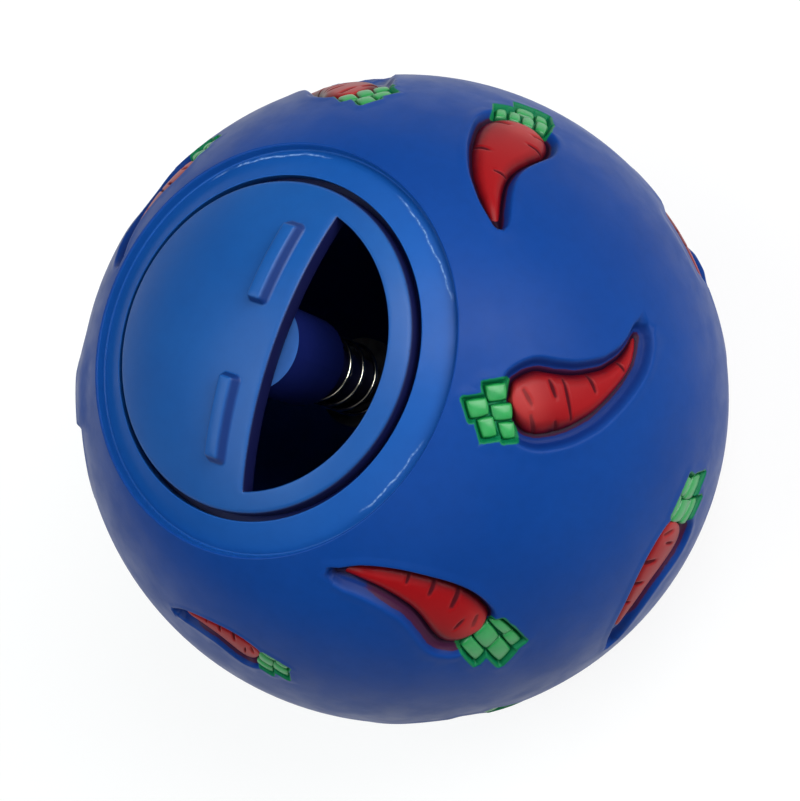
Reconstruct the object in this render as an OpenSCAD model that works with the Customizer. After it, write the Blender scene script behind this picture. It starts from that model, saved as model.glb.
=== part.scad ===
// Treat dispensing ball: a soft ball with a turning dial in its mouth.
// Millimetres. The ball's lowest point is the origin, Z is the dial's axis
// and X points to the middle of the half-moon slot.

/* [Ball skin] */
// Diameter of the ball
ball_d = 70; // [64:1:110]
// Thickness of the soft skin
skin_t = 2.8; // [2.4:0.1:4]
// Width of the mouth in the skin
mouth_d = 36; // [32:0.5:38]
// Width of the sunk ring round the mouth
land_w = 3.5; // [2.5:0.1:5]
// Depth of the sunk ring round the mouth
land_depth = 1.2; // [0.6:0.1:1.4]
// How much narrower the sunk ring is at its floor
land_draft = 0.3; // [0:0.1:0.6]
// Least width of the ridge between the sunk ring and a carrot's pocket
ridge_w = 0.3; // [0.2:0.1:1]
// Thickness of the lip that holds the insert in
lip_t = 1.5; // [1:0.1:2.5]
// Thickness of the neck wall behind the lip
neck_t = 2; // [1.5:0.1:3]

/* [Insert] */
// How far the insert's flange reaches under the lip
flange_reach = 1.3; // [0.8:0.1:2]
// Thickness of the insert's flange
flange_t = 2.8; // [2:0.1:4]
// Thickness of the half-moon shutter plate
shutter_t = 1.6; // [1.2:0.1:2]
// Distance of the shutter's straight edge from the axis
shutter_x = 1; // [0:0.1:3]
// Diameter of the bearing boss at its front
boss_d = 9.8; // [9:0.1:11]
// Diameter of the bearing boss at its rear
boss_rear_d = 9.4; // [8.8:0.1:11]
// Length of the bearing boss
boss_len = 9.4; // [7:0.1:12]
// Depth of the boss face behind the dial
boss_sink = 1.6; // [1.4:0.1:3]

/* [Dial] */
// Gap between the dial and the mouth
mouth_gap = 0.7; // [0.3:0.1:1]
// How far the dial's dome lies under the ball's round
dial_sink = 1; // [0.4:0.1:1.4]
// Thickness of the dial at its middle
dial_t = 2; // [1.6:0.1:2.6]
// Height of the dial's rim
rim_h = 1.9; // [1.6:0.1:2.6]
// Rounding of the dial's edge
edge_r = 0.4; // [0.3:0.1:0.7]
// Distance of the slot's straight side from the axis
slot_x = 4.1; // [4:0.1:7]
// Width of the rim outside the slot
slot_rim = 2.1; // [1.6:0.1:3]
// Distance of the finger ribs from the axis
rib_x = 0.6; // [0:0.1:1.5]
// Where each finger rib starts, measured along it
rib_start = 3.8; // [3:0.1:5]
// Where each finger rib ends, measured along it
rib_end = 12.8; // [9:0.1:13.5]
// Width of a finger rib at its foot
rib_w = 2.3; // [1.8:0.1:3]
// Width of a finger rib at its top
rib_top_w = 1.5; // [1:0.1:1.7]
// Height of a finger rib
rib_h = 1.3; // [0.8:0.1:2]
// Diameter of the dial's pivot pin
pin_d = 5; // [4.4:0.1:5.4]
// Diameter of the thin end of the pin
spigot_d = 3.8; // [3:0.1:4]

/* [Spring, washer and screw] */
// Diameter of the spring wire
wire_d = 0.45; // [0.35:0.05:0.6]
// Diameter of the spring at the middle of its wire
coil_d = 7.24; // [6.8:0.02:8]
// Rise of the spring in one turn
coil_pitch = 2.6; // [2:0.1:3]
// Number of turns
coil_turns = 4; // [3:1:5]
// Diameter of the thrust washer
washer_d = 9.6; // [9:0.1:12]
// Thickness of the thrust washer
washer_t = 1; // [0.8:0.1:1.6]
// Diameter of the screw head
head_d = 6.4; // [5.4:0.1:8]
// Height of the screw head
head_t = 1.8; // [1.4:0.1:2.5]
// Diameter of the screw shank
shank_d = 2; // [1.6:0.1:2.4]
// Length of the screw shank
shank_len = 9; // [6:0.1:12]

/* [Carrots] */
// Depth of the pockets that the roots lie in
pocket_depth = 1.6; // [1.2:0.1:1.7]
// Depth of the roots' crests under the ball's surface
crest_depth = 0.4; // [0.2:0.1:0.7]
// Depth of the pockets that the leaves lie in
leaf_depth = 1.2; // [0.9:0.1:1.5]
// Depth of the leaves' tops under the ball's surface
leaf_top_depth = 0.3; // [0.1:0.1:0.5]
// Width of the groove round a carrot
groove_w = 1; // [0.6:0.1:1.3]
// Length of a carrot root
root_len = 18; // [15:0.5:19]
// Width of a carrot root
root_w = 6.6; // [5:0.1:7]
// Sideways bow of a carrot root
root_bow = 2.5; // [1:0.1:3]
// Length of a tuft of leaves
tuft_len = 2.3; // [1.8:0.1:2.4]
// Width of a tuft of leaves
tuft_w = 1.8; // [1.4:0.1:1.9]

/* [Hidden] */
$fn = 64;

// Every solid is cut past its faces by this much
overrun = 1;
// Gap between the insert and the soft neck
snap_gap = 0.1;
// Gap between the dial and the insert
run_gap = 0.3;
// Gap round the pivot pin and its thin end
pin_gap = 0.08;
// Gap at each face of the thrust washer
end_gap = 0.05;
// Gap round the screw's shank
thread_gap = 0.02;
// Least gap between the painted relief and the round floor under it
hair_gap = 0.05;
// Rounding of a rib's ends, as a share of the width of its foot
rib_end_share = 0.8;
// Driving cross in the screw head
cross_w = 0.8;
cross_len = 3.4;
cross_depth = 0.9;
// Flat of the rim inside the dial's underside
rim_flat = 0.4;
// Thickness of the neck's foot under the insert, and how far it opens past the mouth
foot_t = 1.5;
foot_gap = 0.2;

// Radii and heights, measured from the middle of the ball
ball_r = ball_d / 2;
mouth_r = mouth_d / 2;
land_r = mouth_r + land_w;
floor_r = ball_r - pocket_depth;
leaf_floor_r = ball_r - leaf_depth;
function dome_z(r, dome) = sqrt(dome * dome - r * r);

land_foot_r = land_r - land_draft;
land_foot_z = dome_z(land_foot_r, ball_r - land_depth);
ridge_z = dome_z(land_r, ball_r);

dial_r = mouth_r - mouth_gap;
dome_r = ball_r - dial_sink;
rim_z = dome_z(dial_r, dome_r) - rim_h;
slot_r = dial_r - slot_rim;
under_z = dome_r - dial_t;
under_edge_r = dial_r - rim_flat;
under_rise = under_z - rim_z;
under_r = (under_edge_r * under_edge_r + under_rise * under_rise) / (2 * under_rise);
under_mid = under_z - under_r;

lip_z = dome_z(mouth_r, ball_r - land_depth) - lip_t;
flange_r = mouth_r + flange_reach;
flange_top = min(lip_z - snap_gap, rim_z - run_gap);
flange_bottom = flange_top - flange_t;
hole_r = slot_r + run_gap;
shutter_r = under_r - run_gap;
foot_z = flange_bottom - snap_gap - foot_t;

boss_front = under_z - boss_sink;
boss_rear = boss_front - boss_len;
pin_r = pin_d / 2;
spigot_r = spigot_d / 2;
shank_r = shank_d / 2;
spring_len = coil_turns * coil_pitch + 2 * wire_d;
washer_top = boss_rear - spring_len;
washer_bottom = washer_top - washer_t;
pin_end = washer_top + end_gap;
spigot_end = washer_bottom - end_gap;

// Carrots near the dial: clear of the sunk ring in root widths, angle round the dial's
// axis, direction of the tip (0 points away from the dial) and size of a full carrot
near_shares = [
    [0.2, 13.4, 35, 1],
    [0.8, 63.3, -137.2, 1],
    [1.11, 114.1, 60, 1],
    [0.05, 150.9, 118, 0.75],
    [1.44, 207, -103, 0.69],
    [1.61, -90.6, -107, 0.63],
    [0.4, -45.6, -159.3, 1]
];
// Carrots further back: place between the sunk ring and the ball's far pole, then as above
far_shares = [
    [0.44, -13.3, -77, 0.95],
    [0.514, 50, -66, 0.95],
    [0.486, 131, -82, 0.95],
    [0.465, 184, -77, 0.95],
    [0.465, 236, -77, 0.95],
    [0.465, 289, -77, 0.95],
    [0.761, 15, 105, 0.95],
    [0.761, 105, 105, 0.95],
    [0.761, 195, 105, 0.95],
    [0.761, 285, 105, 0.95]
];
carrot_count = len(near_shares) + len(far_shares);
function two_digits(n) = n < 10 ? str("0", n) : str(n);
function root_name(i) = str("carrot_root_", two_digits(i + 1));
function leaf_name(i) = str("carrot_leaves_", two_digits(i + 1));

// A carrot is drawn flat, x to the tip, y to its hollow side, from the middle of its length.
// Half-widths along the root, as shares of its length and of half its width
root_shares = [
    [0, 0.4], [0.05, 0.82], [0.13, 1], [0.24, 1], [0.34, 0.86],
    [0.46, 0.66], [0.62, 0.46], [0.8, 0.29], [0.92, 0.17], [1, 0.04]
];
bow_power_share = 1.45;
neck_back_share = 0.367;
neck_side_share = 0.36;
neck_x = -root_len * neck_back_share;
neck_y = -root_bow * neck_side_share;
leaf_turn = -18;
// The two corners of the pocket past the tip
tip_turns = [60, -30];
neck_pocket_share = 0.5;

// Tufts of leaves: place and size in tufts, from the neck, x back along the leaves
tuft_shares = [
    [-0.78, 1.25, 1, 0.95], [-0.62, 0.09, 1, 0.95], [-0.43, -1, 0.8, 0.9],
    [-1.67, 0.52, 0.95, 1.1], [-1.36, -0.68, 0.8, 1.2]
];
// Outline and height of the pad under the tufts
leaf_pad_shares = [
    [-0.3, 1.75], [-1.15, 1.85], [-1.9, 1.15], [-2.15, 0.6],
    [-2.1, -0.4], [-1.7, -1.4], [-0.1, -1.2]
];
pad_height_share = 0.3;
// Outline of the pocket round the leaves, in tufts, from the neck, and its middle
leaf_pocket_shares = [
    [0.3, -1.9], [-0.9, -2], [-1.9, -1.55], [-2.45, -0.5],
    [-2.5, 0.8], [-2.2, 1.55], [-1.1, 2.25], [0, 2.05]
];
leaf_mid_shares = [-1.1, 0.1];

function bow(t) = -root_bow * sin(180 * pow(t, bow_power_share));
function spine(t) = [neck_x + root_len * t, neck_y * (1 - t) + bow(t)];
function unit(v) = v / norm(v);
function spine_dir(t, step_share = 0.01) =
    unit(spine(min(1, t + step_share)) - spine(max(0, t - step_share)));
function side(v) = [-v[1], v[0]];
function edge(share, sign, margin) =
    spine(share[0]) + side(spine_dir(share[0])) * sign * (share[1] * root_w / 2 + margin);
function turned(p, a) = [p[0] * cos(a) - p[1] * sin(a), p[0] * sin(a) + p[1] * cos(a)];
function leaf_point(share) =
    [neck_x, neck_y] + turned([share[0] * tuft_len, share[1] * tuft_w], leaf_turn);

// A flat point on a sphere: distance along the surface stays the same
function along_ball(d) = d / ball_r * 180 / PI;
function on_ball(p, r) =
    let (d = norm(p), a = along_ball(d))
    d == 0 ? [0, 0, r] : [p[0] / d * sin(a), p[1] / d * sin(a), cos(a)] * r;
function flat_point(p) =
    let (q = on_ball(p, ball_r - pocket_depth / 2)) [q[0], q[1]];

function behind(p) = p - [groove_w * neck_pocket_share, 0];
last_share = len(root_shares) - 2;
root_outline = concat(
    [behind(edge(root_shares[0], 1, groove_w))],
    [for (i = [1 : last_share]) edge(root_shares[i], 1, groove_w)],
    [for (a = tip_turns) spine(1) + turned([groove_w, 0], a)],
    [for (i = [last_share : -1 : 1]) edge(root_shares[i], -1, groove_w)],
    [behind(edge(root_shares[0], -1, groove_w))]
);
leaf_outline = [for (share = leaf_pocket_shares) leaf_point(share)];
leaf_mid = leaf_point(leaf_mid_shares);

// How far a carrot's pocket reaches toward the dial, from the carrot's middle
function reach(heading) =
    -min([for (p = concat(root_outline, leaf_outline)) p[0] * cos(heading) - p[1] * sin(heading)]);
land_angle = asin(land_r / ball_r);

// Each carrot: angle from the dial's axis, angle round it, direction of the tip, size
carrot_places = concat(
    [for (c = near_shares)
        [land_angle + along_ball(reach(c[2]) * c[3] + c[0] * root_w), c[1], c[2], c[3]]],
    [for (c = far_shares) [land_angle + c[0] * (180 - land_angle), c[1], c[2], c[3]]]
);

// Places a carrot on the ball: its own Z axis points outward
module at_carrot(i) {
    rotate([0, 0, carrot_places[i][1]])
        rotate([0, carrot_places[i][0], 0])
            rotate([0, 0, carrot_places[i][2]])
                children();
}

// Places a carrot's leaves: Z points outward at their own middle
module at_leaves(i) {
    mid = leaf_mid * carrot_places[i][3];
    way = atan2(mid[1], mid[0]);
    at_carrot(i)
        rotate([0, 0, way])
            rotate([0, along_ball(norm(mid)), 0])
                rotate([0, 0, -way])
                    children();
}

// A straight-sided cut with this outline, from inside the skin outward
module outline_cut(outline, size) {
    base_share = 0.85;
    translate([0, 0, ball_r * base_share])
        linear_extrude(height = ball_r * (1 - base_share) + overrun)
            polygon([for (p = outline) flat_point(p * size)]);
}

module root_pocket(i) {
    at_carrot(i) outline_cut(root_outline, carrot_places[i][3]);
}

module leaf_pocket(i) {
    at_leaves(i) outline_cut([for (p = leaf_outline) p - leaf_mid], carrot_places[i][3]);
}

module ball_profile() {
    intersection() {
        translate([0, -ball_r]) square([ball_r, ball_d]);
        difference() {
            union() {
                difference() {
                    circle(ball_r);
                    circle(ball_r - skin_t);
                }
                intersection() {
                    circle(ball_r - skin_t / 2);
                    translate([0, foot_z]) square([flange_r + snap_gap + neck_t, ball_r]);
                }
            }
            square([mouth_r + foot_gap, flange_bottom]);
            square([mouth_r, ball_d]);
            translate([0, flange_bottom - snap_gap])
                square([flange_r + snap_gap, lip_z - flange_bottom + snap_gap]);
            difference() {
                polygon([[0, 0], [land_foot_r, 0], [land_foot_r, land_foot_z],
                    [land_r, ridge_z], [land_r, ball_d], [0, ball_d]]);
                circle(ball_r - land_depth);
            }
        }
    }
}

module ball_shell() {
    color([0.05, 0.16, 0.5])
        translate([0, 0, ball_r])
            difference() {
                rotate_extrude() ball_profile();
                difference() {
                    union() for (i = [0 : carrot_count - 1]) root_pocket(i);
                    sphere(floor_r);
                    cylinder(r = land_r + ridge_w, h = ball_d);
                }
                difference() {
                    union() for (i = [0 : carrot_count - 1]) leaf_pocket(i);
                    sphere(leaf_floor_r);
                    cylinder(r = land_r + ridge_w, h = ball_d);
                }
            }
}

// Everything nearer the axis than the hole, between the shutter's two faces
module shutter_plate() {
    intersection() {
        difference() {
            translate([0, 0, under_mid]) sphere(shutter_r);
            translate([0, 0, under_mid]) sphere(shutter_r - shutter_t);
        }
        translate([0, 0, flange_bottom]) cylinder(r = hole_r + overrun, h = ball_r);
        translate([-ball_r, -ball_r, 0]) cube([ball_r + shutter_x, ball_d, ball_d]);
    }
}

module bearing_boss() {
    boss_reach = ball_r - boss_rear;
    translate([0, 0, boss_rear])
        cylinder(d1 = boss_rear_d, d2 = boss_d, h = boss_len);
    intersection() {
        translate([0, 0, boss_front]) cylinder(d = boss_d, h = boss_reach);
        translate([0, 0, under_mid]) sphere(shutter_r);
        translate([-ball_r, -ball_r, 0]) cube([ball_r + shutter_x, ball_d, ball_d]);
    }
}

module mouth_insert() {
    color([0.06, 0.2, 0.6])
        translate([0, 0, ball_r])
            difference() {
                union() {
                    difference() {
                        translate([0, 0, flange_bottom]) cylinder(r = flange_r, h = flange_t);
                        translate([0, 0, flange_bottom - overrun])
                            cylinder(r = hole_r, h = flange_t + 2 * overrun);
                    }
                    shutter_plate();
                    bearing_boss();
                }
                translate([0, 0, boss_rear - overrun]) cylinder(r = pin_r + pin_gap, h = ball_r);
            }
}

module dial_profile() {
    edge_x = dial_r - edge_r;
    edge_z = dome_z(edge_x, dome_r - edge_r);
    far_share = 2;
    difference() {
        union() {
            intersection() {
                circle(dome_r);
                polygon([[0, 0], [edge_x, edge_z] * far_share, [0, edge_z * far_share]]);
            }
            translate([edge_x, edge_z]) circle(edge_r);
            square([dial_r, edge_z]);
        }
        translate([0, under_mid]) circle(under_r);
        translate([-ball_r, -ball_r]) square([ball_d, ball_r + rim_z]);
        translate([-ball_r, 0]) square([ball_r, ball_d]);
    }
}

// A bar with sloping sides, bent along the dome, with rounded ends
module finger_rib() {
    start_angle = asin(rib_start / dome_r);
    end_angle = asin(rib_end / dome_r);
    rib_len = rib_end - rib_start;
    end_r = rib_w * rib_end_share;
    buried = dial_t / 2;
    buried_w = rib_w + (rib_w - rib_top_w) * buried / rib_h;
    intersection() {
        rotate([0, -90, 0])
            rotate([0, 0, start_angle])
                rotate_extrude(angle = end_angle - start_angle)
                    polygon([
                        [dome_r - buried, -rib_x - buried_w / 2],
                        [dome_r + rib_h, -rib_x - rib_top_w / 2],
                        [dome_r + rib_h, -rib_x + rib_top_w / 2],
                        [dome_r - buried, -rib_x + buried_w / 2]
                    ]);
        translate([rib_x, rib_start + rib_len / 2, 0])
            linear_extrude(height = ball_d) {
                square([2 * end_r, rib_len - 2 * end_r], center = true);
                for (end = [-1, 1])
                    translate([0, end * (rib_len / 2 - end_r)]) circle(end_r);
            }
    }
}

module dial() {
    color([0.08, 0.26, 0.72])
        translate([0, 0, ball_r])
            difference() {
                union() {
                    rotate_extrude() dial_profile();
                    finger_rib();
                    mirror([0, 1, 0]) finger_rib();
                    translate([0, 0, pin_end]) cylinder(r = pin_r, h = under_z - pin_end + dial_t / 2);
                    translate([0, 0, spigot_end]) cylinder(r = spigot_r, h = dial_t + pin_end - spigot_end);
                }
                intersection() {
                    translate([0, 0, under_mid]) cylinder(r = slot_r, h = ball_d);
                    translate([slot_x, -ball_r, 0]) cube([ball_r, ball_d, ball_d]);
                }
                translate([0, 0, spigot_end - overrun])
                    cylinder(r = shank_r + thread_gap, h = shank_len + overrun + thread_gap);
            }
}

// Spring wire: straight for one wire thickness at each end, wound in between
coil_rings = 8;
wire_sides = 6;
coil_steps = coil_turns * coil_rings;
coil_r = coil_d / 2;
wire_points = concat(
    [[coil_r, 0, boss_rear, 0]],
    [for (i = [0 : coil_steps])
        let (a = 360 * i / coil_rings)
        [coil_r * cos(a), coil_r * sin(a), boss_rear - wire_d - coil_pitch * i / coil_rings, a]],
    [[coil_r, 0, washer_top, 360 * coil_turns]]
);
function xyz(p) = [p[0], p[1], p[2]];
wire_count = len(wire_points);
function wire_dir(i) =
    unit(xyz(wire_points[min(wire_count - 1, i + 1)]) - xyz(wire_points[max(0, i - 1)]));
function wire_ring(i) =
    let (a = wire_points[i][3], out = [cos(a), sin(a), 0], along = wire_dir(i))
    let (up = unit(cross(along, out)))
    [for (k = [0 : wire_sides - 1])
        let (b = 360 * k / wire_sides)
        xyz(wire_points[i]) + (out * cos(b) + up * sin(b)) * wire_d / 2];

// Joins rings of equal size into a closed skin of triangles
function skin_faces(rings, sides) = concat(
    [for (k = [1 : sides - 2]) [0, k, k + 1]],
    [for (i = [0 : rings - 2]) for (k = [0 : sides - 1])
        [i * sides + k, (i + 1) * sides + k, (i + 1) * sides + (k + 1) % sides]],
    [for (i = [0 : rings - 2]) for (k = [0 : sides - 1])
        [i * sides + k, (i + 1) * sides + (k + 1) % sides, i * sides + (k + 1) % sides]],
    [for (k = [1 : sides - 2])
        [(rings - 1) * sides, (rings - 1) * sides + k + 1, (rings - 1) * sides + k]]
);
function flat_list(lists) = [for (list = lists) for (item = list) item];

half_turn = coil_rings / 2;
spring_gap = min([for (i = [0 : wire_count - 1]) for (j = [i + half_turn : 1 : wire_count - 1])
    norm(xyz(wire_points[i]) - xyz(wire_points[j]))]) - wire_d;
echo(least_gap_between_spring_turns = spring_gap);

module spring() {
    color([0.75, 0.76, 0.78])
        translate([0, 0, ball_r])
            polyhedron(
                points = flat_list([for (i = [0 : wire_count - 1]) wire_ring(i)]),
                faces = skin_faces(wire_count, wire_sides),
                convexity = 10
            );
}

module thrust_washer() {
    color([0.62, 0.63, 0.65])
        translate([0, 0, ball_r + washer_bottom])
            difference() {
                cylinder(d = washer_d, h = washer_t);
                translate([0, 0, -overrun]) cylinder(r = spigot_r + pin_gap, h = washer_t + 2 * overrun);
            }
}

module retaining_screw() {
    color([0.5, 0.51, 0.53])
        translate([0, 0, ball_r + spigot_end])
            difference() {
                union() {
                    translate([0, 0, -head_t]) cylinder(d = head_d, h = head_t);
                    cylinder(d = shank_d, h = shank_len);
                }
                for (turn = [0, 90])
                    rotate([0, 0, turn])
                        translate([-cross_len / 2, -cross_w / 2, -head_t - overrun])
                            cube([cross_len, cross_w, cross_depth + overrun]);
            }
}

// A flat underside this wide needs this much to clear a round floor
function sag(span) = span * span / (8 * floor_r);
pad_span = norm(leaf_point(leaf_pad_shares[0]) - leaf_point(leaf_pad_shares[4]));
seat_gap = hair_gap + sag(max(root_w, pad_span));
crest_h = pocket_depth - crest_depth - seat_gap;
leaf_h = leaf_depth - leaf_top_depth - seat_gap;

// One ring across the root: flat underside on the pocket floor, rounded back
root_sides = 9;
fullness_share = 1.1;
function root_ring(i, size) =
    let (share = root_shares[i], mid = spine(share[0]), out = side(spine_dir(share[0])))
    let (half = share[1] * root_w / 2, tall = crest_h * min(1, sqrt(share[1]) * fullness_share))
    [for (k = [0 : root_sides - 1])
        let (a = 180 * k / (root_sides - 1))
        on_ball((mid + out * half * cos(a)) * size, floor_r + seat_gap + tall * sin(a))];

module carrot_root(i) {
    size = carrot_places[i][3];
    ring_count = len(root_shares);
    color([0.75, 0.08, 0.08])
        translate([0, 0, ball_r])
            at_carrot(i)
                polyhedron(
                    points = flat_list([for (k = [0 : ring_count - 1]) root_ring(k, size)]),
                    faces = skin_faces(ring_count, root_sides),
                    convexity = 4
                );
}

// One tuft: an eight-cornered block with a sloping side and a flat top
tuft_foot_shares = [[0.5, 0.33], [0.35, 0.5], [-0.35, 0.5], [-0.5, 0.33],
    [-0.5, -0.33], [-0.35, -0.5], [0.35, -0.5], [0.5, -0.33]];
tuft_levels_shares = [[0, 1], [0.6, 0.9], [1, 0.6]];
function tuft_ring(share, level, size) = [for (corner = tuft_foot_shares)
    let (x = share[0] + corner[0] * share[2] * level[1], y = share[1] + corner[1] * share[3] * level[1])
    on_ball(leaf_point([x, y]) * size, leaf_floor_r + seat_gap + leaf_h * level[0])];

// Low pad that joins the tufts at their feet
function pad_ring(height_share, size) = [for (share = leaf_pad_shares)
    on_ball(leaf_point(share) * size, leaf_floor_r + seat_gap + leaf_h * height_share)];

module carrot_leaves(i) {
    size = carrot_places[i][3];
    corner_count = len(tuft_foot_shares);
    color([0.1, 0.55, 0.2])
        translate([0, 0, ball_r])
            at_carrot(i) {
                for (share = tuft_shares)
                    polyhedron(
                        points = flat_list([for (level = tuft_levels_shares) tuft_ring(share, level, size)]),
                        faces = skin_faces(len(tuft_levels_shares), corner_count),
                        convexity = 4
                    );
                polyhedron(
                    points = concat(pad_ring(0, size), pad_ring(pad_height_share, size)),
                    faces = skin_faces(2, len(leaf_pad_shares)),
                    convexity = 4
                );
            }
}

ball_shell();
mouth_insert();
dial();
spring();
thrust_washer();
retaining_screw();
for (i = [0 : carrot_count - 1])
    carrot_root(i);
for (i = [0 : carrot_count - 1])
    carrot_leaves(i);
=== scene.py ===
import math

import bmesh
import bpy
import numpy as np
from mathutils import Matrix, Vector
from mathutils.geometry import delaunay_2d_cdt


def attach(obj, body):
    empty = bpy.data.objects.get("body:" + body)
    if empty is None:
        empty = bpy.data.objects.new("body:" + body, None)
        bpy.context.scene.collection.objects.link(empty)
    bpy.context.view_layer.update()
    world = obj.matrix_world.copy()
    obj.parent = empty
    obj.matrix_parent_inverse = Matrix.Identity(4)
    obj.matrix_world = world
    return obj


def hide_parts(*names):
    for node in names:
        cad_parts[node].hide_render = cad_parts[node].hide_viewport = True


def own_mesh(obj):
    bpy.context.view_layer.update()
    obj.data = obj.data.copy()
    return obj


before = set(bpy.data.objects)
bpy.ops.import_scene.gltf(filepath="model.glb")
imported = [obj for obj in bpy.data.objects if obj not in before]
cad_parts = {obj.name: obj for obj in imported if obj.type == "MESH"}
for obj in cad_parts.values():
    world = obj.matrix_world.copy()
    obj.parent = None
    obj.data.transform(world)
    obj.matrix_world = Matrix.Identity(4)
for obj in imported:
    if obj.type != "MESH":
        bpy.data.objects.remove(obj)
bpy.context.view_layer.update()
scene = bpy.context.scene
scene.view_settings.view_transform = "Standard"
MM = 0.001
R = 35.0                       # radius of the ball; heights below are from its middle
MIDDLE = np.array([0, 0, R])


def looking_from(toward, up, distance):
    """The matrix of a camera or lamp that looks at the ball's middle from a direction."""
    place = MIDDLE * MM + toward * distance
    across = np.cross(up, toward)
    return Matrix([(across[k], up[k], toward[k], place[k]) for k in range(3)] + [(0, 0, 0, 1)])


# ---------------------------------------------------------------- camera
VIEW = np.array([0.5236, -0.0195, 0.8517])
VIEW = VIEW / np.linalg.norm(VIEW)
UP = np.array([-0.2659, 0.9460, 0.1852])
UP = UP - VIEW * (UP @ VIEW)
UP = UP / np.linalg.norm(UP)
RIGHT = np.cross(UP, VIEW)
camera_data = bpy.data.cameras.new("camera")
camera = bpy.data.objects.new("camera", camera_data)
scene.collection.objects.link(camera)
EYE_DISTANCE = 420
PHOTO_PX, FOCAL_PX = 800, 3883   # the photograph's width and the focal length, in its pixels
SHIFT_PX = (-4.24, -1.56)        # how far the ball's middle is from the photograph's
SENSOR = 36
camera.matrix_world = looking_from(VIEW, UP, EYE_DISTANCE * MM)
camera_data.sensor_width = SENSOR
camera_data.sensor_fit = "HORIZONTAL"
camera_data.lens = FOCAL_PX / PHOTO_PX * SENSOR
camera_data.shift_x, camera_data.shift_y = (px / PHOTO_PX for px in SHIFT_PX)
camera_data.clip_start = 0.02
camera_data.clip_end = 20
scene.camera = camera


# ---------------------------------------------------------------- helpers
def smooth(x):
    x = np.clip(x, 0, 1)
    return x * x * (3 - 2 * x)


def smoother(x):
    x = np.clip(x, 0, 1)
    return x * x * x * (x * (6 * x - 15) + 10)


def turn_z(angle):
    c, s = math.cos(math.radians(angle)), math.sin(math.radians(angle))
    return np.array([[c, -s, 0], [s, c, 0], [0, 0, 1]])


def turn_y(angle):
    return turn_z(-angle)[[0, 2, 1]][:, [0, 2, 1]]


def spline(points, count):
    """Catmull-Rom curve through the points, at count places evenly far apart."""
    P = np.asarray(points, float)
    Q = np.vstack([2 * P[0] - P[1], P, 2 * P[-1] - P[-2]])
    parts = []
    t = np.linspace(0, 1, 24, endpoint=False)[:, None]
    for a, b, c, d in zip(Q, Q[1:], Q[2:], Q[3:]):
        parts.append(0.5 * (2 * b + (c - a) * t + (2 * a - 5 * b + 4 * c - d) * t ** 2
                            + (3 * b - a - 3 * c + d) * t ** 3))
    curve = np.vstack(parts + [P[-1:]])
    gone = np.r_[0, np.cumsum(np.linalg.norm(np.diff(curve, axis=0), axis=1))]
    want = np.linspace(0, gone[-1], count)
    return np.stack([np.interp(want, gone, curve[:, k]) for k in range(P.shape[1])], 1)


def signed_distance(points, outline):
    """Distance to a closed outline, negative inside it."""
    a = np.asarray(outline, float)
    ab = np.roll(a, -1, axis=0) - a
    length = np.maximum((ab ** 2).sum(1), 1e-12)
    rise = np.where(np.abs(ab[:, 1]) < 1e-12, 1e-12, ab[:, 1])
    out = np.empty(len(points))
    for start in range(0, len(points), 4000):
        p = points[start:start + 4000, None]
        t = np.clip(((p - a) * ab).sum(2) / length, 0, 1)
        d = np.sqrt(((p - a - ab * t[..., None]) ** 2).sum(2)).min(1)
        y = p[..., 1]
        crosses = (a[:, 1] > y) != (np.roll(a[:, 1], -1) > y)
        x = ab[:, 0] * (y - a[:, 1]) / rise + a[:, 0]
        inside = (crosses & (p[..., 0] < x)).sum(1) % 2 == 1
        out[start:start + 4000] = np.where(inside, -d, d)
    return out


def to_ball(flat, radius):
    """Flat places keep their distance along the ball; Z is outward at the middle."""
    d = np.linalg.norm(flat, axis=1)[:, None]
    return np.hstack([flat / np.maximum(d, 1e-9) * np.sin(d / R), np.cos(d / R)]) * np.reshape(radius, (-1, 1))


def from_ball(directions):
    a = np.arccos(np.clip(directions[:, 2], -1, 1))
    r = np.maximum(np.hypot(directions[:, 0], directions[:, 1]), 1e-9)
    return directions[:, :2] * (a * R / r)[:, None]


def new_mesh(name, points, faces, material, normals=None, attributes=None):
    """An object from points in millimetres, from the middle of the ball."""
    mesh = bpy.data.meshes.new(name)
    points = (np.asarray(points, float) + MIDDLE) * MM
    mesh.from_pydata(points.tolist(), [], faces)
    mesh.update()
    for key, values in (attributes or {}).items():
        mesh.attributes.new(key, "FLOAT", "POINT").data.foreach_set("value", np.asarray(values, np.float32))
    mesh.polygons.foreach_set("use_smooth", [True] * len(mesh.polygons))
    if normals is not None:
        mesh.normals_split_custom_set_from_vertices(np.asarray(normals, float).tolist())
    obj = bpy.data.objects.new(name, mesh)
    scene.collection.objects.link(obj)
    mesh.materials.append(material)
    return obj


def join_up(flat, loops):
    """Triangles over flat places that keep closed loops (first point, count), and their points' order."""
    edges = [(start + j, start + (j + 1) % count) for start, count in loops for j in range(count)]
    _, _, faces, origin, _, _ = delaunay_2d_cdt([Vector(p) for p in flat.tolist()], edges, [], 0, 1e-9)
    return np.array(faces), [o[0] for o in origin]


def full_turn(count, shift=0.0):
    """Angles evenly spaced round a circle."""
    return (np.arange(count) + shift) / count * 2 * math.pi


def grid_faces(rows, columns, wrap=False, start=0):
    faces = []
    last = columns if wrap else columns - 1
    for i in range(rows - 1):
        for j in range(last):
            k = (j + 1) % columns
            faces.append((start + i * columns + j, start + i * columns + k,
                          start + (i + 1) * columns + k, start + (i + 1) * columns + j))
    return faces


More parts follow.
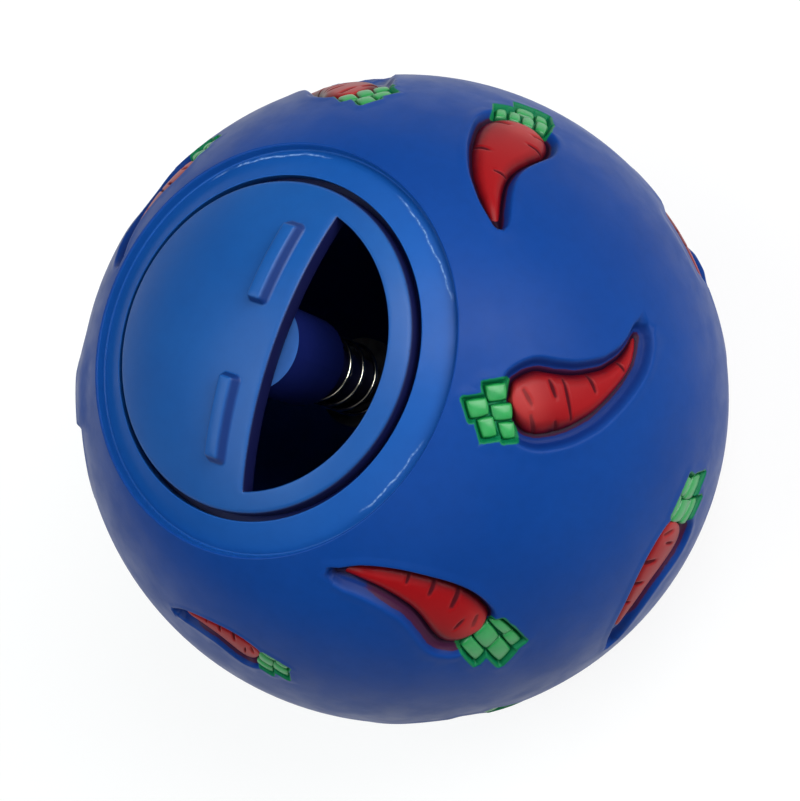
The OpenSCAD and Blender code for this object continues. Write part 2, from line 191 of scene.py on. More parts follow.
def revolve(profile, segments):
    """Points and faces of a profile of (r, z) turned round the axis and closed at both ends."""
    a = full_turn(segments)
    points = np.stack([np.outer(profile[:, 0], np.cos(a)), np.outer(profile[:, 0], np.sin(a)),
                       np.repeat(profile[:, 1:2], segments, 1)], 2).reshape(-1, 3)
    first, last = len(points), len(points) - segments
    faces = [tuple(reversed(f)) for f in grid_faces(len(profile), segments, True)]
    for j in range(segments):
        k = (j + 1) % segments
        faces += [(first, j, k), (first + 1, last + k, last + j)]
    return np.vstack([points, [(0, 0, profile[0, 1]), (0, 0, profile[-1, 1])]]), faces


def rounded(corners, steps):
    """A polyline whose corners (r, z, radius) are rounded by that radius."""
    C = [np.array(c[:2], float) for c in corners]
    out = [C[0]]
    for a, b, c, (_, _, radius) in zip(C, C[1:], C[2:], corners[1:]):
        if not radius:
            out.append(b)
            continue
        u, v = a - b, c - b
        lu, lv = np.linalg.norm(u), np.linalg.norm(v)
        u, v = u / lu, v / lv
        half = math.acos(max(-1, min(1, float(u @ v)))) / 2
        back = min(radius / math.tan(half), lu * 0.49, lv * 0.49)
        r = back * math.tan(half)
        centre = b + (u + v) / np.linalg.norm(u + v) * (r / math.sin(half))
        p, q = b + u * back - centre, b + v * back - centre
        a0, a1 = math.atan2(p[1], p[0]), math.atan2(q[1], q[0])
        sweep = (a1 - a0 + math.pi) % (2 * math.pi) - math.pi
        for k in range(steps + 1):
            t = a0 + sweep * k / steps
            out.append(centre + r * np.array([math.cos(t), math.sin(t)]))
    out.append(C[-1])
    return np.array(out)


def arc(radius, middle_z, start, end, count):
    """Points (r, z) on a circle, angles from the axis in degrees."""
    t = np.radians(np.linspace(start, end, count))
    return np.stack([radius * np.sin(t), middle_z + radius * np.cos(t)], 1)


# ---------------------------------------------------------------- materials
def new_material(name):
    material = bpy.data.materials.new(name)
    material.use_nodes = True
    tree = material.node_tree
    tree.nodes.clear()
    output = tree.nodes.new("ShaderNodeOutputMaterial")
    shader = tree.nodes.new("ShaderNodeBsdfPrincipled")
    tree.links.new(shader.outputs[0], output.inputs["Surface"])
    return material, tree, shader


def srgb(r, g, b):
    out = []
    for c in (r, g, b):
        c = c / 255
        out.append(c / 12.92 if c <= 0.04045 else ((c + 0.055) / 1.055) ** 2.4)
    return (*out, 1)


def noise(tree, scale, detail=4.0, rough=0.55):
    coords = tree.nodes.new("ShaderNodeTexCoord")
    tex = tree.nodes.new("ShaderNodeTexNoise")
    for key, value in (("Scale", scale), ("Detail", detail), ("Roughness", rough)):
        tex.inputs[key].default_value = value
    tree.links.new(coords.outputs["Object"], tex.inputs["Vector"])
    return tex.outputs["Fac"]


def ramp(tree, fac, stops):
    node = tree.nodes.new("ShaderNodeValToRGB")
    node.color_ramp.elements[0].position, node.color_ramp.elements[0].color = stops[0]
    node.color_ramp.elements[1].position, node.color_ramp.elements[1].color = stops[-1]
    for position, color in stops[1:-1]:
        e = node.color_ramp.elements.new(position)
        e.color = color
    tree.links.new(fac, node.inputs["Fac"])
    return node.outputs["Color"]


def spread(tree, fac, low, high, to_low=0.0, to_high=1.0):
    node = tree.nodes.new("ShaderNodeMapRange")
    node.interpolation_type = "SMOOTHSTEP"
    for key, value in (("From Min", low), ("From Max", high), ("To Min", to_low), ("To Max", to_high)):
        node.inputs[key].default_value = value
    tree.links.new(fac, node.inputs["Value"])
    return node.outputs["Result"]


def put(tree, socket, value):
    """Links a socket, or gives it a plain value."""
    if isinstance(value, (int, float, tuple)):
        socket.default_value = value
    else:
        tree.links.new(value, socket)


def mix(tree, fac, a, b):
    node = tree.nodes.new("ShaderNodeMix")
    node.data_type = "RGBA"
    for key, value in ((0, fac), (6, a), (7, b)):
        put(tree, node.inputs[key], value)
    return node.outputs[2]


def math_node(tree, operation, a, b):
    node = tree.nodes.new("ShaderNodeMath")
    node.operation = operation
    put(tree, node.inputs[0], a)
    put(tree, node.inputs[1], b)
    return node.outputs[0]


def layer(tree, mask, strength, color, paint):
    return mix(tree, math_node(tree, "MULTIPLY", mask, strength), color, paint)


def attribute(tree, name):
    node = tree.nodes.new("ShaderNodeAttribute")
    node.attribute_name = name
    return node.outputs["Fac"]


def dress(tree, shader, color, roughness, gloss, grain):
    """Color, roughness, gloss and a fine grain of a scale, a strength and a depth in metres."""
    put(tree, shader.inputs["Base Color"], color)
    put(tree, shader.inputs["Roughness"], roughness)
    shader.inputs["Specular IOR Level"].default_value = gloss
    scale, strength, depth = grain
    bump = tree.nodes.new("ShaderNodeBump")
    bump.inputs["Strength"].default_value = strength
    bump.inputs["Distance"].default_value = depth
    tree.links.new(noise(tree, scale, 4, 0.6), bump.inputs["Height"])
    tree.links.new(bump.outputs["Normal"], shader.inputs["Normal"])


def uneven(tree, scale, low, high, detail=4):
    """A roughness that wanders between two values."""
    return spread(tree, noise(tree, scale, detail), 0.3, 0.7, low, high)


def speckled(tree, name, speckle, amount, low, high):
    """A mask from a paint's attribute, with a ragged edge."""
    ragged = math_node(tree, "MULTIPLY", math_node(tree, "SUBTRACT", speckle, 0.5), amount)
    return spread(tree, math_node(tree, "ADD", attribute(tree, name), ragged), low, high)


def vinyl_color(tree, light, dark):
    fleck = tuple(c * 0.6 for c in dark[:3]) + (1,)
    base = ramp(tree, noise(tree, 55, 3), [(0.3, dark), (0.7, light)])
    return mix(tree, spread(tree, noise(tree, 900, 5), 0.35, 0.75, 0, 0.12), base, fleck)


def make_skin_material(name, light, dark, gloss, roughness):
    material, tree, shader = new_material(name)
    speckle = noise(tree, 700, 6, 0.6)
    red = speckled(tree, "red_paint", speckle, 0.7, 0.38, 0.62)
    green = speckled(tree, "green_paint", speckle, 0.8, 0.36, 0.64)
    scuff = spread(tree, noise(tree, 2600, 4), 0.4, 0.6, 0.25, 1)
    color = vinyl_color(tree, light, dark)
    # painted shade: the carrots' pockets are darkened toward dark navy
    color = layer(tree, attribute(tree, "pocket_shade"), 0.72, color, srgb(7, 28, 90))
    color = layer(tree, red, 0.85, color, srgb(64, 14, 32))
    # painted shade: the narrow groove next to each root is painted nearly black
    color = layer(tree, attribute(tree, "crevice_shade"), 0.85, color, srgb(26, 8, 30))
    color = layer(tree, green, 0.9, color, srgb(10, 112, 56))
    color = layer(tree, attribute(tree, "flash"), scuff, color, srgb(128, 160, 205))
    dress(tree, shader, color, uneven(tree, 260, roughness - 0.05, roughness + 0.05), gloss, (1400, 0.05, 0.00015))
    return material


def make_dial_material():
    material, tree, shader = new_material("dial_plastic")
    color = vinyl_color(tree, srgb(10, 79, 150), srgb(8, 71, 141))
    # painted shade: the ribs' sides are darkened to dark blue
    color = layer(tree, attribute(tree, "flank"), 0.85, color, srgb(5, 36, 98))
    # painted shade: the dial's edge roundings, underside and pin turn dark navy
    color = mix(tree, attribute(tree, "wall"), color, srgb(14, 18, 62))
    dress(tree, shader, color, uneven(tree, 180, 0.4, 0.47), 0.32, (500, 0.05, 0.0002))
    return material


def make_insert_material():
    """Plastic painted with light and shade: its sides dark navy as painted shade, and the boss's face toward the
    dial paler as painted light.
    """
    material, tree, shader = new_material("insert_plastic")
    painted_lit_face = vinyl_color(tree, srgb(60, 108, 184), srgb(52, 98, 172))
    side = vinyl_color(tree, srgb(18, 28, 88), srgb(14, 22, 74))
    coords = tree.nodes.new("ShaderNodeTexCoord")
    facing, place = (tree.nodes.new("ShaderNodeSeparateXYZ") for _ in range(2))
    tree.links.new(coords.outputs["Normal"], facing.inputs[0])
    tree.links.new(coords.outputs["Object"], place.inputs[0])
    # painted light on the boss's face toward the dial, chosen by its facing and height
    painted_light_mask = math_node(tree, "MULTIPLY", spread(tree, facing.outputs["Z"], 0.8, 0.95),
                      spread(tree, place.outputs["Z"], 0.0645, 0.065))
    dress(tree, shader, mix(tree, painted_light_mask, side, painted_lit_face), uneven(tree, 300, 0.34, 0.46), 0.14, (1200, 0.05, 0.0001))
    return material


def make_red_material():
    material, tree, shader = new_material("carrot_red_paint")
    nick = attribute(tree, "nick")
    # painted shade: the red darkens toward the root's edges and is lightest on its crest
    color = ramp(tree, attribute(tree, "painted_crown_shade"), [
        (0.0, srgb(36, 5, 20)), (0.25, srgb(84, 7, 17)), (0.55, srgb(124, 6, 14)), (1.0, srgb(142, 8, 15))])
    color = mix(tree, spread(tree, noise(tree, 420, 4, 0.6), 0.35, 0.7, 0, 0.3), color, srgb(140, 6, 16))
    # painted shade: the nicks' dents are painted dark red
    color = mix(tree, spread(tree, nick, 0.1, 0.7, 0, 0.92), color, srgb(62, 5, 18))
    # painted highlight: a pinkish sheen on the root's shoulder near the leaves
    color = mix(tree, spread(tree, attribute(tree, "painted_shoulder_highlight"), 0, 1, 0, 0.26), color, srgb(196, 84, 80))
    bare = vinyl_color(tree, srgb(3, 60, 134), srgb(2, 52, 120))
    color = mix(tree, spread(tree, attribute(tree, "bare"), 0.3, 0.7), color, bare)
    dress(tree, shader, color, spread(tree, nick, 0, 0.8, 0.38, 0.85), 0.14, (1500, 0.08, 0.0001))
    return material


def make_green_material():
    material, tree, shader = new_material("leaf_green_paint")
    # painted shade: the green darkens toward the blocks' edges and is lightest on their tops
    color = ramp(tree, attribute(tree, "painted_crown_shade"), [
        (0.0, srgb(6, 82, 48)), (0.35, srgb(10, 112, 54)), (0.7, srgb(20, 134, 60)), (1.0, srgb(38, 148, 76))])
    color = mix(tree, spread(tree, noise(tree, 520, 4, 0.6), 0.4, 0.75, 0, 0.4), color, srgb(22, 112, 66))
    dress(tree, shader, color, 0.34, 0.5, (1500, 0.1, 0.0001))
    return material


def make_steel_material(name, light, dark, roughness):
    material, tree, shader = new_material(name)
    put(tree, shader.inputs["Base Color"], ramp(tree, noise(tree, 900, 4), [(0.3, dark), (0.7, light)]))
    shader.inputs["Metallic"].default_value = 1
    put(tree, shader.inputs["Roughness"], uneven(tree, 1600, roughness - 0.05, roughness + 0.07, 3))
    return material


skin_material = make_skin_material("soft_vinyl_skin", srgb(9, 61, 136), srgb(7, 55, 127), 0.1, 0.41)
# the same vinyl as the skin, painted a lighter blue on the sunk ring as a painted highlight, and glossier
ring_painted_highlight_material = make_skin_material("soft_vinyl_ring_painted_highlight", srgb(20, 80, 156), srgb(17, 73, 146), 0.14, 0.37)
dial_material = make_dial_material()
insert_material = make_insert_material()
red_material = make_red_material()
green_material = make_green_material()
spring_material = make_steel_material("spring_steel", srgb(250, 246, 232), srgb(225, 220, 205), 0.14)
plain_material = make_steel_material("plain_steel", srgb(120, 121, 126), srgb(90, 92, 98), 0.4)

# ---------------------------------------------------------------- carrots: where and what shape
# A carrot is drawn flat, x to the tip, y to its hollow side, for a ball of 70 mm. Its outline runs
# along the hollow side and then along the bulge side, both from the leaves to the tip. On each of
# these sides, wall says where the wall of the groove starts and ends, and paint how far red goes.
# The root is painted darker, as painted shade, on the side that shade names, 1 for the hollow side and -1 for the
# bulge. Each nick is a line with a width. The blocks of the leaves grow by a share of their size.
FIRST = {
    "hollow": [(-6.6, 0.4), (-5.6, 1.8), (-4.7, 2.1), (-3.5, 2.1), (-2.4, 1.8), (-0.7, 0.7), (1.6, -0.5),
               (4.6, -1.35), (6.1, -1.4), (7.7, -1.3), (9.45, -0.8), (10.8, -0.2), (11.35, -0.15)],
    "bulge": [(-6.6, 0.4), (-6.8, -0.7), (-6.85, -1.9), (-6.5, -3.0), (-5.9, -3.7), (-4.9, -4.3), (-3.2, -4.8),
              (-1.7, -5.06), (-0.3, -5.1), (1.25, -5.04), (2.9, -4.75), (5.0, -4.2), (7.04, -3.5), (8.9, -2.65),
              (10.2, -1.65), (11.1, -0.7), (11.35, -0.15)],
    "tufts": [
        [(-8.52, 3.05), (-6.21, 2.31), (-6.93, 0.63), (-8.85, 1.2)],
        [(-8.83, 0.97), (-6.55, 0.14), (-7.18, -1.47), (-9.08, -0.8)],
        [(-8.83, -1.02), (-7.06, -1.74), (-7.65, -3.37), (-8.97, -2.94)],
        [(-10.99, 2.52), (-8.72, 1.8), (-9.21, 0.02), (-11.28, 0.42)],
        [(-10.7, 0.19), (-8.86, -0.23), (-9.32, -2.36), (-10.94, -1.93)],
    ],
    "wall": ((0.5, 1.45), (0.85, 1.65)), "paint": (0.5, 0.4), "paint_end": 18, "grow": 0.07, "shade": -1,
    "nicks": [
        ((-4.9, 0.75), (-4.75, -0.95), 0.24), ((-1.85, 0.35), (-1.98, -1.35), 0.24),
        ((-0.35, -0.2), (-1.2, -4.3), 0.2), ((2.65, -1.1), (2.62, -2.9), 0.22),
        ((-5.3, -2.0), (-5.55, -4.0), 0.26), ((7.0, -1.65), (7.25, -2.6), 0.2),
        ((-3.0, -3.7), (-3.2, -5.0), 0.22),
    ],
}
SECOND = {
    "hollow": [(-6.65, -0.3), (-6.42, 1.14), (-5.94, 2.1), (-4.91, 2.78), (-3.44, 2.9), (-2.01, 2.6), (-0.8, 1.95),
               (0.39, 1.2), (1.89, 0.32), (3.44, -0.3), (4.95, -0.6), (6.55, -0.63), (8.41, -0.45),
               (10.1, -0.15), (11.45, 0.0)],
    "bulge": [(-6.65, -0.3), (-6.67, -1.4), (-6.55, -2.5), (-6.1, -3.35), (-4.83, -4.3), (-3.16, -4.91),
              (-0.67, -5.1), (1.67, -5.04), (4.14, -4.62), (6.01, -4.05), (7.53, -3.31), (9.06, -2.42),
              (10.4, -1.32), (11.25, -0.45), (11.45, 0.0)],
    "tufts": [
        [(-8.9, -2.35), (-6.55, -2.2), (-6.0, -3.5), (-8.2, -3.6)],
        [(-9.1, -0.75), (-6.75, -0.7), (-6.7, -2.05), (-9.0, -2.2)],
        [(-9.2, 0.85), (-6.75, 0.85), (-6.8, -0.55), (-9.1, -0.6)],
        [(-9.1, 2.6), (-6.35, 2.2), (-6.7, 1.0), (-9.2, 1.0)],
        [(-11.5, 0.75), (-9.4, 0.8), (-9.3, -1.3), (-11.3, -1.4)],
        [(-11.5, 2.2), (-9.35, 2.5), (-9.4, 0.95), (-11.6, 0.9)],
    ],
    "wall": ((0.15, 0.9), (0.1, 0.75)), "paint": (0.35, 0.3), "paint_end": 18, "grow": 0.06, "shade": -1,
    "nicks": [
        ((-2.0, 2.3), (-2.3, 0.6), 0.22), ((-5.2, -2.0), (-5.0, -4.0), 0.26),
        ((1.2, -3.4), (1.0, -4.8), 0.24), ((4.3, -0.9), (4.2, -2.2), 0.2),
        ((-4.8, 2.3), (-4.6, 0.9), 0.22),
    ],
}
THIRD = {
    "hollow": [(-5.7, -1.9), (-5.35, -0.84), (-4.85, 0.43), (-4.06, 1.2), (-2.91, 1.38), (-1.73, 0.92),
               (-0.51, 0.2), (0.92, -0.6), (2.4, -1.15), (3.75, -1.38), (5.16, -1.5), (6.39, -1.5), (7.56, -1.41),
               (8.93, -1.15), (10.17, -0.75), (11.3, -0.3)],
    "bulge": [(-5.7, -1.9), (-5.85, -2.7), (-5.72, -3.6), (-5.3, -4.4), (-4.38, -5.01), (-3.14, -5.54),
              (-1.64, -5.9), (0.03, -5.98), (1.71, -5.8), (3.92, -5.31), (5.97, -4.68), (7.87, -3.81),
              (9.19, -2.98), (9.98, -2.27), (10.69, -1.44), (11.15, -0.7), (11.3, -0.3)],
    "tufts": [
        [(-7.95, 2.35), (-5.1, 0.75), (-5.45, -0.75), (-8.0, 0.6)],
        [(-7.98, 0.3), (-5.55, -0.95), (-5.85, -3.2), (-8.2, -1.85)],
        [(-8.55, -2.15), (-5.95, -3.4), (-6.9, -4.1), (-9.1, -3.2)],
        [(-10.8, 1.8), (-8.15, 0.35), (-8.4, -1.75), (-10.8, -0.4)],
        [(-10.6, -0.75), (-8.6, -1.95), (-9.2, -3.1), (-11.05, -2.15)],
    ],
    "wall": ((0.5, 1.5), (0.1, 0.6)), "paint": (1.0, 0.25), "paint_end": 10, "grow": 0.16, "shade": 1,
    "nicks": [
        ((-0.6, -5.9), (-1.0, -3.6), 0.3), ((2.2, -5.5), (1.9, -3.9), 0.26),
        ((-4.6, -2.2), (-4.2, -3.6), 0.24), ((-3.0, -1.2), (-3.1, -2.6), 0.2),
        ((4.9, -4.9), (4.7, -3.9), 0.2),
    ],
}
SHAPES = (FIRST, SECOND, THIRD)
# angle from the dial's axis, angle round it, direction of the tip, size, shape, length of bare tip
CARROTS = [
    (57.77, 13.4, 35.0, 1.0, FIRST, 0.0), (62.02, 63.3, -137.2, 1.0, SECOND, 0.0),
    (63.23, 114.1, 60.0, 1.0, FIRST, 0.0), (46.24, 150.9, 118.0, 0.75, FIRST, 0.0),
    (60.54, 207.0, -103.0, 0.69, FIRST, 0.0), (61.99, -90.6, -107.0, 0.63, THIRD, 0.0),
    (61.29, -45.6, -159.3, 1.0, THIRD, 0.0), (100.42, -13.3, -77.0, 0.95, THIRD, 3.6),
    (110.94, 50.0, -66.0, 0.95, FIRST, 0.0), (106.96, 131.0, -82.0, 0.95, SECOND, 0.0),
    (103.98, 184.0, -77.0, 0.95, FIRST, 0.0), (103.98, 236.0, -77.0, 0.95, THIRD, 0.0),
    (103.98, 289.0, -77.0, 0.95, SECOND, 0.0), (146.04, 15.0, 105.0, 0.95, FIRST, 0.0),
    (146.04, 105.0, 105.0, 0.95, SECOND, 0.0), (146.04, 195.0, 105.0, 0.95, THIRD, 0.0),
    (146.04, 285.0, 105.0, 0.95, FIRST, 0.0),
]
SEEN = 9                       # the carrots that the camera sees come first
FRAMES = [turn_z(c[1]) @ turn_y(c[0]) @ turn_z(c[2]) for c in CARROTS]
for shape in SHAPES:
    line_a, line_b = spline(shape["hollow"], 160), spline(shape["bulge"], 160)
    shape["root"] = np.vstack([line_a, line_b[::-1][1:-1]])
    grown = [np.array(block) + (np.array(block) - np.mean(block, axis=0)) * shape["grow"]
             for block in shape["tufts"]]
    shape["tufts"] = grown
    shape["blocks"] = [np.vstack([a + (b - a) * np.linspace(0, 1, 30, endpoint=False)[:, None]
                                  for a, b in zip(block, np.roll(block, -1, axis=0))]) for block in grown]
# how deep the pockets are, and how far the leaves' pocket reaches past them
ROOT_DEPTH, LEAF_DEPTH, LEAF_REACH = 1.35, 0.8, 0.34
CELL, TABLE_HALF, FAR_OFF = 0.08, 18, 9.0
TABLE_LINE = np.arange(-TABLE_HALF, TABLE_HALF, CELL)
PLACES = np.stack(np.meshgrid(TABLE_LINE, TABLE_LINE, indexing="ij"), 2).reshape(-1, 2)


def distance_table(outline):
    """Distances to an outline on a fine grid, exact near it."""
    rough = np.linalg.norm(PLACES[:, None] - outline[None, ::8], axis=2).min(1)
    table = np.full(len(PLACES), FAR_OFF)
    near = rough < 4
    table[near] = signed_distance(PLACES[near], outline)
    return table.reshape(len(TABLE_LINE), -1)


def look_up(table, flat):
    x, y = np.clip((flat + TABLE_HALF) / CELL, 0, len(TABLE_LINE) - 2.001).T
    i, j = x.astype(int), y.astype(int)
    s, t = x - i, y - j
    return (table[i, j] * (1 - s) * (1 - t) + table[i + 1, j] * s * (1 - t)
            + table[i, j + 1] * (1 - s) * t + table[i + 1, j + 1] * s * t)


def side_table(shape):
    """1 on the hollow side of a carrot and 0 on its bulge side, with a soft change between them."""
    away = [np.linalg.norm(PLACES[:, None] - spline(shape[key], 48)[None], axis=2).min(1)
            for key in ("hollow", "bulge")]
    return smooth((away[1] - away[0] + 0.8) / 1.6).reshape(len(TABLE_LINE), -1)


for shape in SHAPES:
    shape["root_table"] = distance_table(shape["root"])
    shape["leaf_table"] = np.minimum.reduce([distance_table(block) for block in shape["blocks"]])
    shape["side_table"] = side_table(shape)


def relief(flat, shape):
    """Depth of a carrot's pocket at flat places, and where its paints and its painted shade lie on the skin."""
    root = look_up(shape["root_table"], flat)
    leaf = look_up(shape["leaf_table"], flat)
    hollow = look_up(shape["side_table"], flat)
    start, end, paint = (hollow * a + (1 - hollow) * b for a, b in
                         (*zip(*shape["wall"]), shape["paint"]))
    a = ROOT_DEPTH * (1 - 0.3 * smooth(root / start)) * (1 - smooth((root - start) / (end - start)))
    b = LEAF_DEPTH * smoother((LEAF_REACH - leaf) / 0.45)
    depth = (a ** 4 + b ** 4) ** 0.25
    # a faint swell round the pocket
    rim = np.minimum(root - end, leaf - LEAF_REACH)
    depth = depth - 0.07 * smooth((rim + 0.25) / 0.4) * smooth((1.1 - rim) / 0.9)
    red = smooth((paint + 0.3 - root) / 0.6) * smooth((leaf + 0.4) / 0.6) \
        * smooth((shape["paint_end"] - flat[:, 0]) / 5)
    green = smooth((LEAF_REACH + 0.5 - leaf) / 0.8) * smooth((root + 0.1) / 0.5)
    # painted shade: darker over the pocket, out to its wall's end
    pocket_shade = smooth((end + 0.1 - root) / 0.7)
    # painted shade in the crevice right beside the root
    crevice_shade = smooth((0.42 - root) / 0.3) * smooth(leaf / 0.3)
    return depth, np.stack([red, green, pocket_shade, crevice_shade], 1)


# Where the ball's outline leaves the round: angles round the view with their soft edges, then
# angles over the outline toward the eye with theirs, and how deep the place lies
HOLLOWS = [
    ((91.6, 2.2), (105.8, 1.2), (-8, 4), (15, 3), 1.05),
    ((135, 6), (149, 6), (-8, 5), (10, 6), 0.24),
    ((20, 4), (37.5, 3), (1.5, 2), (13, 5), 0.42),
    ((20.5, 3), (29, 3), (-12, 4), (-1, 2), -0.3),
    ((167, 10), (185.4, 1.2), (0, 2), (13, 6), -0.45),
]


def outline_hollows(directions):
    around = np.degrees(np.arctan2(directions @ UP, directions @ RIGHT)) % 360
    over = np.degrees(np.arcsin(np.clip(directions @ VIEW, -1, 1))) - 4.78
    total = np.zeros(len(directions))
    for a, b, c, d, deep in HOLLOWS:
        total += deep * smooth((around - a[0]) / a[1]) * smooth((b[0] - around) / b[1]) \
            * smooth((over - c[0]) / c[1]) * smooth((d[0] - over) / d[1])
    return total


def skin_field(directions):
    depth = np.zeros(len(directions))
    paints_and_shade = np.zeros((len(directions), 4))
    for (*_, size, shape, _), M in zip(CARROTS, FRAMES):
        near = np.nonzero(directions @ M[:, 2] > math.cos(16.5 * size / R))[0]
        if not len(near):
            continue
        flat = from_ball(directions[near] @ M) / size
        d, laid = relief(flat, shape)
        d = d * size ** 0.5
        depth[near] = np.where(d < 0, np.minimum(depth[near], d), np.maximum(depth[near], d))
        paints_and_shade[near] = np.maximum(paints_and_shade[near], laid)
    plan = R * np.sin(np.arccos(np.clip(directions[:, 2], -1, 1)))
    near_mouth = np.where(directions[:, 2] > 0, smooth((plan - 21.95) / 0.45), 1)
    shaped = outline_hollows(directions)
    depth = np.where(shaped > 0, np.maximum(depth, shaped), depth + shaped * (1 - smooth(depth / 0.6)))
    return depth * near_mouth, paints_and_shade * near_mouth[:, None]


def unit(vectors):
    return vectors / np.linalg.norm(vectors, axis=1, keepdims=True)


def skin_points(directions):
    """Points of the skin, their normals from the slopes of its depth, and their paints and painted shade."""
    depth, paints_and_shade = skin_field(directions)
    step = 0.0018
    helper = np.where(np.abs(directions[:, 2:3]) < 0.9, [[0, 0, 1.0]], [[1.0, 0, 0]])
    u = unit(np.cross(helper, directions))
    normals = directions
    for way in (u, np.cross(directions, u)):
        ahead, back = (skin_field(unit(directions + way * go))[0] for go in (step, -step))
        normals = normals + way * ((ahead - back) / (2 * step * R))[:, None]
    return directions * (R - depth)[:, None], unit(normals), paints_and_shade


# ---------------------------------------------------------------- ball skin
SEGMENTS, FAR_SEGMENTS = 480, 12
SKIN_ROWS = 6                  # rows of the ridge that keep the skin's colour
LAND_R, LAND_FOOT_R, LAND_DEPTH, MOUTH_R = 21.5, 21.2, 1.2, 18.0
LAND_FLOOR_R, INNER_R = R - LAND_DEPTH, R - 2.8
GROOVE_R, NECK_HOLE_R, NECK_R = 19.4, 18.2, 21.4      # the groove that holds the insert, and the neck
LIP_T, GROOVE_Z, NECK_Z, NECK_TOP_Z = 1.5, 24.11, 22.61, 24.06
FLASH_T, FLASH_STEP = 0.13, 0.12   # height of the trim line, and how wide its edge is
JUNCTION = math.asin(22.0 / R)   # where the carved skin meets the turned ridge
POLE_GAP = 0.35 / R


def offset_points(outline, distance, spacing):
    """Points evenly spaced along a closed outline, moved out by a distance."""
    line = np.asarray(outline)
    ahead = np.roll(line, -1, axis=0) - np.roll(line, 1, axis=0)
    side = np.stack([ahead[:, 1], -ahead[:, 0]], 1)
    side /= np.maximum(np.linalg.norm(side, axis=1, keepdims=True), 1e-9)
    area = (line[:, 0] * np.roll(line[:, 1], -1) - np.roll(line[:, 0], -1) * line[:, 1]).sum()
    moved = line + side * (distance if area > 0 else -distance)
    gone = np.r_[0, np.cumsum(np.linalg.norm(np.diff(moved, axis=0), axis=1))]
    want = np.arange(0, gone[-1], spacing)
    moved = np.stack([np.interp(want, gone, moved[:, k]) for k in (0, 1)], 1)
    return moved[np.abs(signed_distance(moved, outline) - distance) < 0.03]


def thin_out(points, least):
    """Keeps points that lie at least so far apart, the first ones first."""
    cells, keep = {}, []
    nearby = [(i, j, k) for i in (-1, 0, 1) for j in (-1, 0, 1) for k in (-1, 0, 1)]
    for number, p in enumerate(points):
        x, y, z = (int(math.floor(c / least)) for c in p)
        others = (q for i, j, k in nearby for q in cells.get((x + i, y + j, z + k), ()))
        if all((p[0] - q[0]) ** 2 + (p[1] - q[1]) ** 2 + (p[2] - q[2]) ** 2 >= least * least for q in others):
            cells.setdefault((x, y, z), []).append(p)
            keep.append(number)
    return keep


def carrot_samples(shape, fine):
    """Flat places for the skin's points round a carrot, close together on its pocket's walls."""
    parts = []
    for d in (0.12, 0.3, 0.42, 0.53, 0.64, 0.75, 0.86, 0.97, 1.08, 1.18, 1.28, 1.38, 1.5, 1.65, 1.9, 2.3):
        parts.append(offset_points(shape["root"], d, 0.24 * fine))
    for block in shape["blocks"]:
        for d in (-0.4, -0.12, -0.04, 0.04, 0.11, 0.18, 0.25, 0.32, 0.4, 0.5, 0.65, 0.9, 1.25, 1.7):
            line = offset_points(block, d, 0.24 * fine)
            parts.append(line[np.abs(look_up(shape["leaf_table"], line) - d) < 0.05])
    parts.append(offset_points(shape["root"], -0.6, 0.6))
    extra = np.stack(np.meshgrid(np.arange(-13, 12, 0.9), np.arange(-7, 5, 0.9)), 2).reshape(-1, 2)
    inner = (look_up(shape["root_table"], extra) < -0.9) | (look_up(shape["leaf_table"], extra) < -0.6)
    parts.append(extra[inner])
    everything = np.vstack(parts)
    keep = thin_out(np.c_[everything, np.zeros(len(everything))], 0.085 * fine)
    return everything[keep]


def flash_edge(a):
    """The thin trim left on the sunk ring: radius of its ragged edge and how much of it there is."""
    edge = 20.45 + 0.22 * np.sin(3 * a + 1.2) + 0.1 * np.sin(11 * a + 2) + 0.05 * np.sin(29 * a) \
        + 0.03 * np.sin(71 * a + 0.5)
    turn = np.degrees(a)
    amount = np.zeros(len(a))
    for start, end in ((28, 68), (92, 136), (320, 350)):
        amount = np.maximum(amount, smooth((turn - start) / 7) * smooth((end - turn) / 7))
    return edge, amount


def ring(polar, count=SEGMENTS, shift=0.0):
    a = full_turn(count, shift)
    return np.stack([np.sin(polar) * np.cos(a), np.sin(polar) * np.sin(a), np.full(count, math.cos(polar))], 1)


def skin_directions():
    """Directions of the carved skin's points: first two rings at the mouth, last one at the pole."""
    samples, near = {}, []
    for i, ((*_, size, shape, _), M) in enumerate(zip(CARROTS, FRAMES)):
        key = (id(shape), i < SEEN)
        if key not in samples:
            samples[key] = carrot_samples(shape, 1.0 if i < SEEN else 1.25)
        flat = samples[key] * size
        near.append(to_ball(flat, 1) @ M.T)
    near = np.vstack(near)
    near = near[np.arccos(near[:, 2]) > JUNCTION + 0.42 / R]
    count = 11500
    k = np.arange(count) + 0.5
    z = 1 - 2 * k / count
    golden = math.pi * (1 + 5 ** 0.5)
    wide = np.stack([np.sqrt(1 - z * z) * np.cos(golden * k), np.sqrt(1 - z * z) * np.sin(golden * k), z], 1)
    wide = wide[(np.arccos(wide[:, 2]) > JUNCTION + 1.3 / R) & (wide[:, 2] > -math.cos(2 * POLE_GAP))]
    clear = np.ones(len(wide), bool)
    for (*_, size, shape, _), M in zip(CARROTS, FRAMES):
        close = np.nonzero(wide @ M[:, 2] > math.cos(17.5 * size / R))[0]
        flat = from_ball(wide[close] @ M) / size
        taken = (look_up(shape["root_table"], flat) < 2.6) | (look_up(shape["leaf_table"], flat) < 2.1)
        clear[close[taken]] = False
    body = np.vstack([ring(JUNCTION + 0.75 / R, SEGMENTS // 2), near, wide[clear]])
    body = body[thin_out(body * R, 0.09)]
    return np.vstack([ring(JUNCTION), ring(JUNCTION + 0.3 / R, SEGMENTS, 0.5), body,
                      ring(math.pi - POLE_GAP, FAR_SEGMENTS)])


